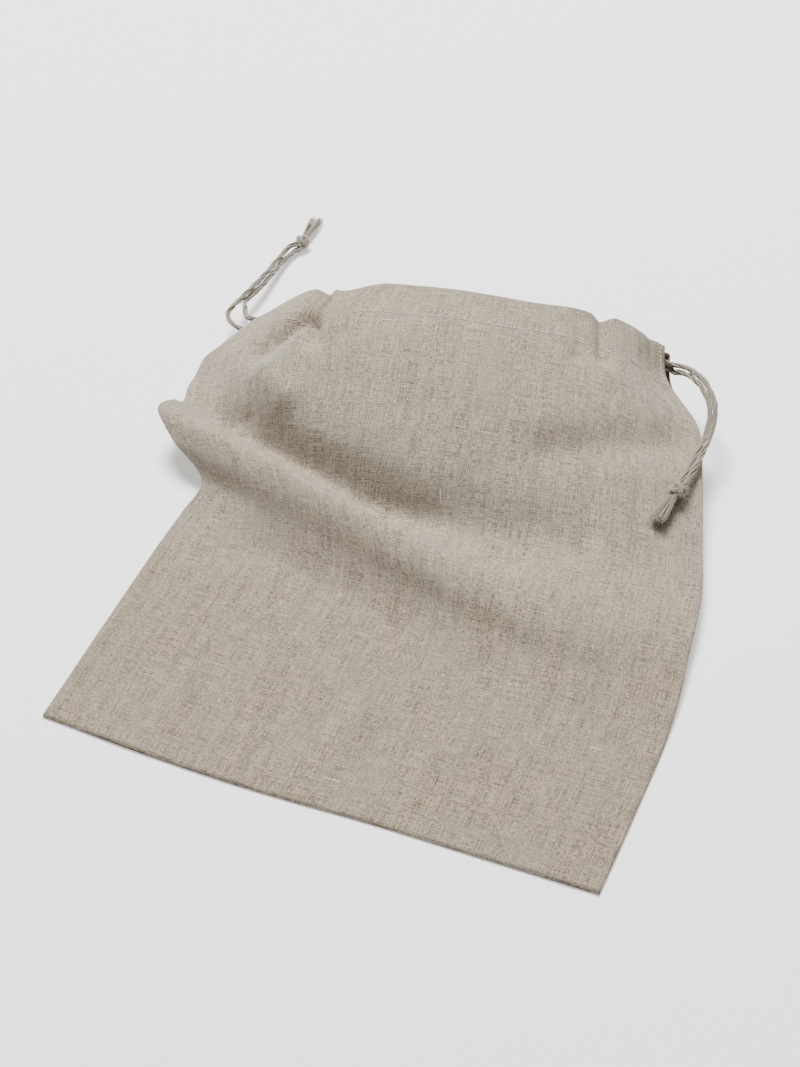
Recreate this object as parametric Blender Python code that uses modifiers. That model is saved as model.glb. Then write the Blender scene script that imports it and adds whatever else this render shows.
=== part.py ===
"""Linen bread bag, laid down with its mouth open: two sewn panels, each with a channel hem at the mouth,
and two draw cords, whose knotted and frayed ends hang out of the channels.

Metres, +Z up, the closed end towards -Y and the mouth towards +Y. Places are measured from the bag's own
lower left corner on the floor and shifted by CORNER, so that the origin is the middle of its footprint.
"""
import math
from collections import namedtuple

import bpy
from mathutils import Vector

# Cloth, seams and hems
BAG_LENGTH = 0.500
BAG_WIDTH = 0.400
CLOTH = 0.0012          # thickness of one linen sheet
PIECE_GAP = 0.0003      # clearance between two pieces that touch
CHANNEL_DEPTH = 0.038   # from the mouth's turned edge down to the stitch line
HEM_END = 0.042         # from the mouth's turned edge down to the hem's inner end
CHANNEL_OPEN = 0.0070   # from layer to layer at the channel's two open ends
CHANNEL_FLAT = 0.0036   # from layer to layer between the ends
CHANNEL_SEWN = 0.0017   # from layer to layer at the stitch line
CHANNEL_MOUTH = 0.08    # share of the width over which each end of a channel stays open
SEAM_APART = CLOTH + PIECE_GAP
SEAM_SLACK = 0.0010     # more room between the panels where a side seam is lifted off the floor
SEAM_LIFTED = 0.020
SLIT_FROM = 0.85        # share of the length at which the side seams end
SLIT_TO = 0.95          # share of the length at which the side slits are full wide

# Grid of the two sheets
COLUMNS = 25
FLAT_ROWS = 5
FOLDED_ROWS = 34
FLAT_SHARE = 0.34       # share of the length that lies flat, with wide rows
CURVE_STEPS = 8
MOUTH_TURN = 0.0025     # how far before the mouth's edge the cloth starts to turn in
# The turn at the mouth: distance from the edge, and share of the way from the outer layer to the inner one
TURN_STEPS = ((0.0007, 0.16), (0.0, 0.5), (0.0007, 0.84))
HEM_STEPS = (0.20, 0.40, 0.62, 0.74, 0.86)   # rows of the inner layer, as shares of the channel's depth

# Cords, knots and frayed ends
CORD_DIAMETER = 0.0042
CORD_SIDES = 2          # bevel resolution of a cord's tube
CORD_DEPTH = 0.011      # how far from the mouth's edge a cord lies in its channel
CORD_STRAIGHT = 0.003   # how far a cord keeps its course out of the channel
POINT_SPACING = 0.0095  # along a cord
KNOT_LENGTH = 0.0126
KNOT_WIDTH = 0.0130
KNOT_HEIGHT = 0.0104
TASSEL_NECK = 0.0052
TASSEL_SPLAY = 0.0150
TASSEL_THICK = 0.0044

# The bag's lower left corner, seen from the middle of its footprint
CORNER = Vector((-0.1758, -0.2404, 0.0))

BACK_HEIGHT = CLOTH / 2
FRONT_HEIGHT = CLOTH * 1.5 + PIECE_GAP

# The front panel has one line across it for each section or fold, from the closed end to the mouth:
# x, y and height at six even stations from the left side seam to the right one.
Line = namedtuple("Line", "name left near_left mid_left mid_right near_right right")
FRONT_LINES = (
    Line("closed end",
         (0.000, 0.000, FRONT_HEIGHT), (0.080, -0.004, FRONT_HEIGHT), (0.160, -0.005, FRONT_HEIGHT),
         (0.240, -0.002, FRONT_HEIGHT), (0.320, -0.001, FRONT_HEIGHT), (0.400, 0.000, FRONT_HEIGHT)),
    Line("flat",
         (0.000, 0.090, FRONT_HEIGHT), (0.080, 0.085, FRONT_HEIGHT), (0.160, 0.080, FRONT_HEIGHT),
         (0.240, 0.075, FRONT_HEIGHT), (0.321, 0.070, FRONT_HEIGHT), (0.402, 0.070, FRONT_HEIGHT)),
    Line("foot of the roll",
         (0.002, 0.212, 0.0024), (0.081, 0.196, 0.0028), (0.161, 0.177, 0.0030),
         (0.241, 0.154, 0.0028), (0.321, 0.138, 0.0025), (0.403, 0.140, 0.0024)),
    Line("slope of the roll",
         (0.006, 0.243, 0.0110), (0.078, 0.219, 0.0152), (0.158, 0.199, 0.0140),
         (0.238, 0.181, 0.0102), (0.320, 0.168, 0.0070), (0.400, 0.184, 0.0070)),
    Line("shoulder of the roll",
         (-0.026, 0.260, 0.0280), (0.064, 0.240, 0.0350), (0.149, 0.217, 0.0300),
         (0.233, 0.200, 0.0236), (0.318, 0.193, 0.0165), (0.397, 0.207, 0.0105)),
    Line("crest of the roll",
         (-0.047, 0.280, 0.0370), (0.051, 0.257, 0.0405), (0.140, 0.233, 0.0350),
         (0.228, 0.219, 0.0258), (0.316, 0.216, 0.0190), (0.395, 0.225, 0.0125)),
    Line("back of the roll",
         (-0.045, 0.300, 0.0290), (0.050, 0.273, 0.0270), (0.138, 0.249, 0.0200),
         (0.226, 0.237, 0.0180), (0.315, 0.246, 0.0172), (0.392, 0.249, 0.0130)),
    Line("valley",
         (-0.043, 0.312, 0.0180), (0.048, 0.286, 0.0140), (0.135, 0.264, 0.0148),
         (0.224, 0.262, 0.0165), (0.313, 0.275, 0.0172), (0.387, 0.276, 0.0130)),
    Line("foot of the dome",
         (-0.048, 0.333, 0.0180), (0.045, 0.304, 0.0400), (0.132, 0.289, 0.0430),
         (0.218, 0.294, 0.0385), (0.306, 0.305, 0.0270), (0.378, 0.306, 0.0150)),
    Line("side of the dome",
         (-0.049, 0.362, 0.0200), (0.036, 0.340, 0.0590), (0.126, 0.336, 0.0670),
         (0.210, 0.346, 0.0640), (0.290, 0.362, 0.0480), (0.358, 0.372, 0.0220)),
    Line("shoulder of the dome",
         (-0.043, 0.375, 0.0218), (0.030, 0.362, 0.0658), (0.120, 0.363, 0.0776),
         (0.203, 0.381, 0.0756), (0.277, 0.401, 0.0570), (0.341, 0.421, 0.0230)),
    Line("stitch line",
         (-0.036, 0.391, 0.0245), (0.026, 0.386, 0.0690), (0.114, 0.391, 0.0840),
         (0.196, 0.415, 0.0825), (0.264, 0.438, 0.0645), (0.302, 0.459, 0.0345)),
    Line("mouth",
         (-0.026, 0.414, 0.0290), (0.030, 0.425, 0.0690), (0.112, 0.438, 0.0840),
         (0.188, 0.452, 0.0815), (0.249, 0.474, 0.0695), (0.294, 0.478, 0.0495)),
)

# Gathers and hollows of the front panel, each from one place to another, as shares of width and length.
# A positive depth is a trough, a negative one a ridge.
Crease = namedtuple("Crease", "name start end width depth")
CREASES = (
    Crease("gather at the left", (0.207, 1.00), (0.240, 0.87), 0.007, 0.0070),
    Crease("hollow round the gather", (0.225, 0.97), (0.238, 0.87), 0.013, 0.0040),
    Crease("slant at the left", (0.215, 0.92), (0.140, 0.86), 0.011, 0.0080),
    Crease("hollow at the left", (0.020, 0.84), (0.118, 0.738), 0.017, 0.0042),
    Crease("swell beside the hollow", (0.165, 0.81), (0.205, 0.765), 0.013, -0.0070),
    Crease("gather at the right", (0.785, 1.00), (0.780, 0.91), 0.009, 0.0080),
    Crease("slope beside the gather", (0.745, 0.98), (0.725, 0.90), 0.012, 0.0035),
    Crease("gather at the right end", (0.950, 1.00), (0.955, 0.92), 0.007, 0.0025),
    Crease("shoulder at the right", (0.690, 0.715), (0.940, 0.795), 0.018, 0.0065),
)

# Where gathers draw the front panel's edge of the mouth back: share of the width, half-width and depth
Dip = namedtuple("Dip", "place width depth")
MOUTH_DIPS = (Dip(0.262, 0.015, 0.0120),)
DIPS_FROM = 0.80        # share of the length from which they draw the cloth

# Where the side slits are open, the back panel's corners of the mouth are this far from the front panel's.
LEFT_SLIT = Vector((0.001, 0.022, -0.012))
RIGHT_SLIT = Vector((0.0035, 0.006, -0.0115))

# The back panel lies on the floor as far as this. At each side seam it is drawn along the bag, and lifted
# to the front panel, over these shares of its width.
BACK_MOUTH_Y = 0.486
BACK_DRAWN_SHARE = 0.34
BACK_LIFTED_SHARE = 0.10

# Free stretches of the cords, from the channels' ends to the knots
Strand = namedtuple("Strand", "name panel side route")
STRANDS = (
    Strand("left_cord_outer", "front", "left", (
        (-0.0360, 0.4072, 0.0190), (-0.0433, 0.4097, 0.0185), (-0.0503, 0.4141, 0.0187),
        (-0.0549, 0.4212, 0.0187), (-0.0555, 0.4312, 0.0182), (-0.0537, 0.4447, 0.0170),
        (-0.0524, 0.4614, 0.0154), (-0.0512, 0.4795, 0.0134), (-0.0512, 0.4986, 0.0110),
        (-0.0510, 0.5175, 0.0090), (-0.0503, 0.5335, 0.0078), (-0.0462, 0.5377, 0.0085))),
    Strand("left_cord_inner", "back", "left", (
        (-0.0353, 0.4205, 0.0205), (-0.0430, 0.4289, 0.0170), (-0.0478, 0.4388, 0.0148),
        (-0.0510, 0.4455, 0.0132), (-0.0497, 0.4623, 0.0116), (-0.0484, 0.4806, 0.0096),
        (-0.0483, 0.4998, 0.0074), (-0.0480, 0.5185, 0.0055), (-0.0454, 0.5330, 0.0043),
        (-0.0432, 0.5372, 0.0046))),
    Strand("right_cord_outer", "front", "right", (
        (0.3034, 0.4718, 0.0378), (0.3104, 0.4706, 0.0395), (0.3191, 0.4664, 0.0420),
        (0.3294, 0.4592, 0.0435), (0.3399, 0.4479, 0.0428), (0.3476, 0.4361, 0.0398),
        (0.3512, 0.4233, 0.0364), (0.3525, 0.4100, 0.0337), (0.3524, 0.3976, 0.0320),
        (0.3518, 0.3838, 0.0314), (0.3510, 0.3691, 0.0317), (0.3505, 0.3550, 0.0328),
        (0.3500, 0.3495, 0.0338))),
    Strand("right_cord_inner", "back", "right", (
        (0.3048, 0.4700, 0.0322), (0.3112, 0.4681, 0.0348), (0.3190, 0.4640, 0.0378),
        (0.3272, 0.4556, 0.0415), (0.3366, 0.4460, 0.0407), (0.3435, 0.4361, 0.0376),
        (0.3468, 0.4251, 0.0341), (0.3482, 0.4130, 0.0313), (0.3483, 0.4013, 0.0294),
        (0.3477, 0.3877, 0.0289), (0.3470, 0.3730, 0.0292), (0.3459, 0.3575, 0.0303),
        (0.3454, 0.3498, 0.0316))),
)

# A knot on each pair of strands, and the frayed end past it
Knot = namedtuple("Knot", "side centre tassel_end")
KNOTS = (
    Knot("left", (-0.0440, 0.5445, 0.0066), (-0.0460, 0.5850, 0.0030)),
    Knot("right", (0.3465, 0.3427, 0.0325), (0.3397, 0.3095, 0.0290)),
)

LINEN_COLOUR = (0.447, 0.394, 0.327, 1.0)
LINEN_SHADE = (0.418, 0.368, 0.305, 1.0)
CORD_COLOUR = (0.392, 0.340, 0.275, 1.0)


def smooth_span(p0, p1, p2, p3, share):
    """The point at this share of the smooth span from p1 to p2, which keeps close to uneven points."""
    knots = [0.0]
    for a, b in ((p0, p1), (p1, p2), (p2, p3)):
        knots.append(knots[-1] + max((b - a).length, 1e-6) ** 0.5)
    k0, k1, k2, k3 = knots
    k = k1 + (k2 - k1) * share
    a1 = p0.lerp(p1, (k - k0) / (k1 - k0))
    a2 = p1.lerp(p2, (k - k1) / (k2 - k1))
    a3 = p2.lerp(p3, (k - k2) / (k3 - k2))
    b1 = a1.lerp(a2, (k - k0) / (k2 - k0))
    b2 = a2.lerp(a3, (k - k1) / (k3 - k1))
    return b1.lerp(b2, (k - k1) / (k2 - k1))


def with_ends(points):
    """The points, with one more in line at each end."""
    return [2 * points[0] - points[1], *points, 2 * points[-1] - points[-2]]


def smooth_curve(points, steps):
    """Points on a smooth curve through the given ones, with so many steps between each two."""
    ends = with_ends(points)
    curve = []
    for i in range(len(points) - 1):
        for step in range(steps):
            curve.append(smooth_span(*ends[i:i + 4], step / steps))
    curve.append(points[-1])
    return curve


def running_lengths(curve):
    """The length of a curve up to each of its points."""
    lengths = [0.0]
    for a, b in zip(curve, curve[1:]):
        lengths.append(lengths[-1] + (b - a).length)
    return lengths


def at_shares(curve, shares):
    """Points on a curve at the given shares of its length, in rising order."""
    lengths = running_lengths(curve)
    points = []
    i = 0
    for share in shares:
        reach = share * lengths[-1]
        while i < len(curve) - 2 and lengths[i + 1] < reach:
            i += 1
        span = max(lengths[i + 1] - lengths[i], 1e-9)
        points.append(curve[i].lerp(curve[i + 1], min(1.0, max(0.0, (reach - lengths[i]) / span))))
    return points


def eased(t):
    """A smooth step from 0 to 1."""
    t = min(1.0, max(0.0, t))
    return t * t * (3 - 2 * t)


def line_at(line, u):
    """The point of a section line at the share u of the bag's width."""
    stations = with_ends([Vector(p) for p in line[1:]])
    place = u * (len(stations) - 3)
    i = min(int(place), len(stations) - 4)
    return smooth_span(*stations[i:i + 4], place - i)


def width_shares():
    """Shares of the width for the sheets' columns, closer together towards both side seams."""
    shares = []
    for i in range(COLUMNS):
        even = i / (COLUMNS - 1)
        shares.append(0.6 * even + 0.4 * (0.5 - 0.5 * math.cos(math.pi * even)))
    return shares


def length_shares():
    """Shares of the length for the rows of the outer layer, up to where the mouth's edge turns in."""
    last = 1 - MOUTH_TURN / BAG_LENGTH
    flat = [FLAT_SHARE * i / FLAT_ROWS for i in range(FLAT_ROWS)]
    folded = [FLAT_SHARE + (last - FLAT_SHARE) * i / FOLDED_ROWS for i in range(FOLDED_ROWS + 1)]
    return flat + folded


def crease_depth(u, share):
    """How far the front panel is pressed in at a place, over all creases."""
    depth = 0.0
    for crease in CREASES:
        start = Vector((crease.start[0] * BAG_WIDTH, crease.start[1] * BAG_LENGTH, 0))
        run = Vector((crease.end[0] * BAG_WIDTH, crease.end[1] * BAG_LENGTH, 0)) - start
        place = Vector((u * BAG_WIDTH, share * BAG_LENGTH, 0)) - start
        nearest = min(1.0, max(0.0, place.dot(run) / run.dot(run)))
        away = (place - run * nearest).length
        depth += crease.depth * math.exp(-(away / crease.width) ** 2)
    return depth


def drawn_shares(u, shares):
    """The shares of a column's length, drawn back towards the mouth's gathers."""
    drawn = 0.0
    for dip in MOUTH_DIPS:
        drawn += dip.depth / BAG_LENGTH * math.exp(-((u - dip.place) * BAG_WIDTH / dip.width) ** 2)
    return [share - drawn * eased((share - DIPS_FROM) / (1 - DIPS_FROM)) for share in shares]


def sheet_normals(columns):
    """Upward normals of a sheet given as columns of points."""
    last_u = len(columns) - 1
    last_v = len(columns[0]) - 1
    normals = []
    for i in range(last_u + 1):
        column = []
        for j in range(last_v + 1):
            across = columns[min(i + 1, last_u)][j] - columns[max(i - 1, 0)][j]
            along = columns[i][min(j + 1, last_v)] - columns[i][max(j - 1, 0)]
            column.append(across.cross(along).normalized())
        normals.append(column)
    return normals


def front_sheet(shares):
    """Columns of points on the middle of the front panel's cloth, at these shares of its length."""
    columns = []
    for u in width_shares():
        curve = smooth_curve([line_at(line, u) for line in FRONT_LINES], CURVE_STEPS)
        columns.append(at_shares(curve, drawn_shares(u, shares)))
    normals = sheet_normals(columns)
    for u, column, column_normals in zip(width_shares(), columns, normals):
        for j, share in enumerate(shares):
            column[j] = column[j] - column_normals[j] * crease_depth(u, share)
            column[j].z = max(column[j].z, FRONT_HEIGHT)
    return columns


def back_sheet(shares):
    """Columns of points on the back panel, flat on the floor and lifted to the front panel at its seams."""
    front = front_sheet(shares)
    normals = sheet_normals(front)
    columns = [[] for _ in front]
    for j, share in enumerate(shares):
        slit = eased((share - SLIT_FROM) / (SLIT_TO - SLIT_FROM))
        seams = []
        for k, apart in ((0, LEFT_SLIT), (-1, RIGHT_SLIT)):
            closed = SEAM_APART + SEAM_SLACK * eased((front[k][j].z - FRONT_HEIGHT) / SEAM_LIFTED)
            seams.append(front[k][j] - normals[k][j] * closed * (1 - slit) + apart * slit)
        left, right = seams
        floor_y = BACK_MOUTH_Y * share
        for i, u in enumerate(width_shares()):
            bow = line_at(FRONT_LINES[0], u).y * (1 - share) ** 4
            point = Vector((left.x + (right.x - left.x) * u, floor_y + bow, BACK_HEIGHT))
            for seam, inward in ((left, u), (right, 1 - u)):
                drawn = max(0.0, 1 - inward / BACK_DRAWN_SHARE) ** 2
                lifted = max(0.0, 1 - inward / BACK_LIFTED_SHARE) ** 2
                point.y += (seam.y - floor_y) * drawn
                point.z += (seam.z - BACK_HEIGHT) * lifted
            point.z = max(point.z, BACK_HEIGHT)
            columns[i].append(point)
    return columns


def channel_height(u, depth):
    """The distance between a channel's two layers, at a share of the width and a depth from the mouth."""
    from_end = min(u, 1 - u)
    open_share = 1 - eased((from_end - CHANNEL_MOUTH) / CHANNEL_MOUTH)
    height = CHANNEL_FLAT + (CHANNEL_OPEN - CHANNEL_FLAT) * open_share
    return CHANNEL_SEWN + (height - CHANNEL_SEWN) * eased((CHANNEL_DEPTH - depth) / (CHANNEL_DEPTH / 3))


def hemmed_columns(sheet, inward):
    """A sheet's columns, carried round the mouth's edge and back down on its inner side as a channel hem.

    inward is 1 where the inside of the bag is above the sheet, and -1 where it is below.
    """
    inner_depths = [MOUTH_TURN, *(share * CHANNEL_DEPTH for share in HEM_STEPS), CHANNEL_DEPTH, HEM_END]
    profile = [*TURN_STEPS, *((depth, 1.0) for depth in inner_depths)]
    shares = [1 - depth / BAG_LENGTH for depth, _ in reversed(profile)]
    edge = sheet(sorted(set(shares)))
    edge_normals = sheet_normals(edge)
    places = {share: k for k, share in enumerate(sorted(set(shares)))}
    columns = []
    for i, (u, outer) in enumerate(zip(width_shares(), sheet(length_shares()))):
        column = list(outer)
        for depth, part in profile:
            k = places[1 - depth / BAG_LENGTH]
            lift = inward * part * channel_height(u, max(depth, 0.0))
            column.append(edge[i][k] + edge_normals[i][k] * lift)
        columns.append(column)
    return columns


def channel_start(panel, side):
    """Points on the middle line of a channel, from a little way in to just outside its open end."""
    sheet, inward = PANELS[panel]
    middle = 1 - CORD_DEPTH / BAG_LENGTH
    step = 0.004
    rows = sheet([middle - step, middle, middle + step])
    normals = sheet_normals(rows)
    columns = (2, 1, 0) if side == "left" else (COLUMNS - 3, COLUMNS - 2, COLUMNS - 1)
    points = [rows[i][1] + normals[i][1] * inward * CHANNEL_OPEN / 2 for i in columns]
    points.append(points[-1] + (points[-1] - points[-2]).normalized() * CORD_STRAIGHT)
    return points


# The two sheets, each with the side of it that is the bag's inside
PANELS = {"front": (front_sheet, -1), "back": (back_sheet, 1)}


def clear_scene():
    """Remove whatever the scene holds."""
    for item in list(bpy.data.objects):
        bpy.data.objects.remove(item, do_unlink=True)


def cloth_material(name, colour, roughness):
    """A plain material for one piece."""
    material = bpy.data.materials.new(name)
    material.use_nodes = True
    shader = material.node_tree.nodes["Principled BSDF"]
    shader.inputs["Base Color"].default_value = colour
    shader.inputs["Roughness"].default_value = roughness
    shader.inputs["Metallic"].default_value = 0.0
    return material


def add_piece(name, data, colour, collection, roughness=0.9):
    """Link a finished mesh or curve as one named piece with a material of its own."""
    piece = bpy.data.objects.new(name, data)
    data.materials.append(cloth_material(name + "_finish", colour, roughness))
    collection.objects.link(piece)
    return piece


def build_panel(name, panel, colour, collection):
    """One panel: the open sheet with its hem, given its thickness."""
    sheet, inward = PANELS[panel]
    columns = hemmed_columns(sheet, inward)
    rows = len(columns[0])
    vertices = [point + CORNER for column in columns for point in column]
    faces = []
    for i in range(COLUMNS - 1):
        for j in range(rows - 1):
            a = i * rows + j
            faces.append((a, a + rows, a + rows + 1, a + 1))
    mesh = bpy.data.meshes.new(name)
    mesh.from_pydata(vertices, [], faces)
    mesh.shade_smooth()
    piece = add_piece(name, mesh, colour, collection)
    wall = piece.modifiers.new("thickness", "SOLIDIFY")
    wall.thickness = CLOTH
    wall.offset = 0.0
    return piece


def build_strand(strand, collection):
    """One strand of a draw cord, from inside its channel to the knot."""
    route = channel_start(strand.panel, strand.side) + [Vector(p) for p in strand.route]
    curve = smooth_curve(route, CURVE_STEPS)
    count = round(running_lengths(curve)[-1] / POINT_SPACING) + 1
    points = at_shares(curve, [i / (count - 1) for i in range(count)])
    data = bpy.data.curves.new(strand.name, "CURVE")
    data.dimensions = "3D"
    data.bevel_depth = CORD_DIAMETER / 2
    data.bevel_resolution = CORD_SIDES
    data.use_fill_caps = True
    spline = data.splines.new("POLY")
    spline.points.add(count - 1)
    for spline_point, point in zip(spline.points, points):
        spline_point.co = (*(point + CORNER), 1.0)
    return add_piece(strand.name, data, CORD_COLOUR, collection)


def lay_along(piece, centre, direction, flat_scale):
    """Turn a piece's own Z along a direction, keep it level, and place it."""
    forward = direction.normalized()
    sideways = Vector((0, 0, 1)).cross(forward).normalized()
    upward = forward.cross(sideways)
    for vertex in piece.data.vertices:
        local = Vector((vertex.co.x * flat_scale[0], vertex.co.y * flat_scale[1], vertex.co.z))
        vertex.co = sideways * local.x + upward * local.y + forward * local.z + centre + CORNER


def build_knot(knot, collection):
    """The knot on a pair of strands and the frayed end past it."""
    centre = Vector(knot.centre)
    run = Vector(knot.tassel_end) - centre
    start = KNOT_LENGTH / 2 + PIECE_GAP
    length = run.length - start
    bpy.ops.mesh.primitive_uv_sphere_add(segments=16, ring_count=10, radius=0.5)
    ball = bpy.context.object
    mesh = ball.data.copy()
    bpy.data.objects.remove(ball, do_unlink=True)
    for vertex in mesh.vertices:
        vertex.co.z *= KNOT_LENGTH
    mesh.shade_smooth()
    piece = add_piece(knot.side + "_knot", mesh, CORD_COLOUR, collection)
    lay_along(piece, centre, run, (KNOT_WIDTH, KNOT_HEIGHT))

    bpy.ops.mesh.primitive_cone_add(vertices=14, radius1=TASSEL_NECK / 2, radius2=TASSEL_SPLAY / 2,
                                    depth=length)
    cone = bpy.context.object
    mesh = cone.data.copy()
    bpy.data.objects.remove(cone, do_unlink=True)
    for vertex in mesh.vertices:
        splayed = eased(vertex.co.z / length + 0.5)
        vertex.co.y *= 1 + splayed * (TASSEL_THICK / TASSEL_SPLAY - 1)
    tassel = add_piece(knot.side + "_tassel", mesh, CORD_COLOUR, collection)
    lay_along(tassel, centre + run.normalized() * (start + length / 2), run, (1.0, 1.0))


def main():
    """Build the bag."""
    clear_scene()
    collection = bpy.data.collections.new("linen_bread_bag")
    bpy.context.scene.collection.children.link(collection)
    build_panel("front_panel", "front", LINEN_COLOUR, collection)
    build_panel("back_panel", "back", LINEN_SHADE, collection)
    for strand in STRANDS:
        build_strand(strand, collection)
    for knot in KNOTS:
        build_knot(knot, collection)


main()
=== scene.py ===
"""Visual model of a linen bread bag: two sewn panels with channel hems and two knotted draw cords.

The bag lies on a pale floor with its mouth open, a soft roll across its middle and its upper half domed.
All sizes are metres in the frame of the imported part: +Z up, +Y towards the mouth, +X towards the right
side seam, and the origin in the middle of the footprint. The tables of folds, routes and knots start from
the left corner of the closed end instead, and CORNER is that corner's place in the part's frame.
"""

import logging
import math
import random
from dataclasses import dataclass, field
from enum import Enum
from typing import NamedTuple, Sequence

import bpy
import numpy as np
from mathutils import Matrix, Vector

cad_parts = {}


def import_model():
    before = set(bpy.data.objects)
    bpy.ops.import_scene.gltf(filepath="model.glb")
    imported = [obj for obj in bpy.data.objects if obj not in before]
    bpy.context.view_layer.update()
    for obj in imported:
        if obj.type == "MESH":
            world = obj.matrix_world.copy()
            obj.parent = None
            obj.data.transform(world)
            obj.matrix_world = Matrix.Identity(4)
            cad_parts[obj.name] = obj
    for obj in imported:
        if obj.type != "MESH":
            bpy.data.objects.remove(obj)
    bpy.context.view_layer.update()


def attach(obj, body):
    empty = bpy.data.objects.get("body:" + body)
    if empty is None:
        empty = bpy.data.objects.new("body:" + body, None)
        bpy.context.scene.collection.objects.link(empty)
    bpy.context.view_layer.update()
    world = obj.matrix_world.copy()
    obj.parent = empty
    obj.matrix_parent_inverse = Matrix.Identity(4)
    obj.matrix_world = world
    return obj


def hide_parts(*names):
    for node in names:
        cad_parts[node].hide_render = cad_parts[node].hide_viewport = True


LOG = logging.getLogger("linen_bread_bag")

CORNER = np.array([-0.1758, -0.2404, 0.0])
CLOTH_UV = "cloth"
YARN_UV = "yarn"
TINY = 1e-12
CAP_RISE = 0.5  # how far a tube's closed end stands out, as a share of its radius there


class Side(Enum):
    """The two sides of the bag, seen from its closed end."""

    LEFT = "left"
    RIGHT = "right"


class Layer(Enum):
    """The two panels; the value says on which side of its sheet the bag's inside is."""

    FRONT = -1
    BACK = 1


class Fold(NamedTuple):
    """One line across the front panel, at six even stations from the left seam to the right one."""

    name: str
    left: tuple[float, float, float]
    near_left: tuple[float, float, float]
    mid_left: tuple[float, float, float]
    mid_right: tuple[float, float, float]
    near_right: tuple[float, float, float]
    right: tuple[float, float, float]


class Crease(NamedTuple):
    """A soft trough, or a ridge where the depth is negative, between two places on the cloth.

    Places are shares of the width and of the length; width and depth are metres.
    """

    name: str
    start: tuple[float, float]
    end: tuple[float, float]
    width: float
    depth: float


class Dip(NamedTuple):
    """A place where a gather draws the mouth's edge back: share of the width, half-width and depth."""

    place: float
    width: float
    depth: float


class Ripple(NamedTuple):
    """One gentle wave over the cloth: waves across, waves along, phase and height."""

    across: float
    along: float
    phase: float
    height: float


LAID = 0.0021  # height of the front panel's cloth where it lies flat

FOLDS = (
    Fold("closed end", (0.000, 0.000, LAID), (0.080, -0.004, LAID), (0.160, -0.005, LAID),
         (0.240, -0.002, LAID), (0.320, -0.001, LAID), (0.400, 0.000, LAID)),
    Fold("flat", (0.000, 0.090, LAID), (0.080, 0.085, LAID), (0.160, 0.080, LAID),
         (0.240, 0.075, LAID), (0.321, 0.070, LAID), (0.402, 0.070, LAID)),
    Fold("foot of the roll", (0.002, 0.212, 0.0024), (0.081, 0.196, 0.0028), (0.161, 0.177, 0.0030),
         (0.241, 0.154, 0.0028), (0.321, 0.138, 0.0025), (0.403, 0.140, 0.0024)),
    Fold("slope of the roll", (0.006, 0.243, 0.0110), (0.078, 0.219, 0.0152), (0.158, 0.199, 0.0140),
         (0.238, 0.181, 0.0102), (0.320, 0.168, 0.0070), (0.400, 0.184, 0.0070)),
    Fold("shoulder of the roll", (-0.026, 0.260, 0.0280), (0.064, 0.240, 0.0350), (0.149, 0.217, 0.0300),
         (0.233, 0.200, 0.0236), (0.318, 0.193, 0.0165), (0.397, 0.207, 0.0105)),
    Fold("crest of the roll", (-0.047, 0.280, 0.0370), (0.051, 0.257, 0.0405), (0.140, 0.233, 0.0350),
         (0.228, 0.219, 0.0258), (0.316, 0.216, 0.0190), (0.395, 0.225, 0.0125)),
    Fold("back of the roll", (-0.045, 0.300, 0.0290), (0.050, 0.273, 0.0270), (0.138, 0.249, 0.0200),
         (0.226, 0.237, 0.0180), (0.315, 0.246, 0.0172), (0.392, 0.249, 0.0130)),
    Fold("valley", (-0.043, 0.312, 0.0180), (0.048, 0.286, 0.0140), (0.135, 0.264, 0.0148),
         (0.224, 0.262, 0.0165), (0.313, 0.275, 0.0172), (0.387, 0.276, 0.0130)),
    Fold("foot of the dome", (-0.048, 0.333, 0.0180), (0.045, 0.304, 0.0400), (0.132, 0.289, 0.0430),
         (0.218, 0.294, 0.0385), (0.306, 0.305, 0.0270), (0.378, 0.306, 0.0150)),
    Fold("side of the dome", (-0.049, 0.362, 0.0200), (0.036, 0.340, 0.0590), (0.126, 0.336, 0.0670),
         (0.210, 0.346, 0.0640), (0.290, 0.362, 0.0480), (0.358, 0.372, 0.0220)),
    Fold("shoulder of the dome", (-0.043, 0.375, 0.0218), (0.030, 0.362, 0.0658), (0.120, 0.363, 0.0776),
         (0.203, 0.381, 0.0756), (0.277, 0.401, 0.0570), (0.341, 0.421, 0.0230)),
    Fold("stitch line", (-0.036, 0.391, 0.0245), (0.026, 0.386, 0.0690), (0.114, 0.391, 0.0840),
         (0.196, 0.415, 0.0825), (0.264, 0.438, 0.0645), (0.302, 0.459, 0.0345)),
    Fold("mouth", (-0.026, 0.414, 0.0290), (0.030, 0.425, 0.0690), (0.112, 0.438, 0.0840),
         (0.188, 0.452, 0.0815), (0.249, 0.474, 0.0695), (0.294, 0.478, 0.0495)),
)

CREASES = (
    Crease("gather at the left", (0.207, 1.00), (0.240, 0.87), 0.007, 0.0070),
    Crease("hollow round the gather", (0.225, 0.97), (0.238, 0.87), 0.013, 0.0040),
    Crease("slant at the left", (0.215, 0.92), (0.140, 0.86), 0.011, 0.0080),
    Crease("hollow at the left", (0.020, 0.84), (0.118, 0.738), 0.017, 0.0042),
    Crease("swell beside the hollow", (0.165, 0.81), (0.205, 0.765), 0.013, -0.0070),
    Crease("gather at the right", (0.785, 1.00), (0.780, 0.91), 0.009, 0.0080),
    Crease("slope beside the gather", (0.745, 0.98), (0.725, 0.90), 0.012, 0.0035),
    Crease("gather at the right end", (0.950, 1.00), (0.955, 0.92), 0.007, 0.0025),
    Crease("shoulder at the right", (0.690, 0.715), (0.940, 0.795), 0.018, 0.0065),
)

DIPS = (Dip(0.262, 0.015, 0.0120),)

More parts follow.
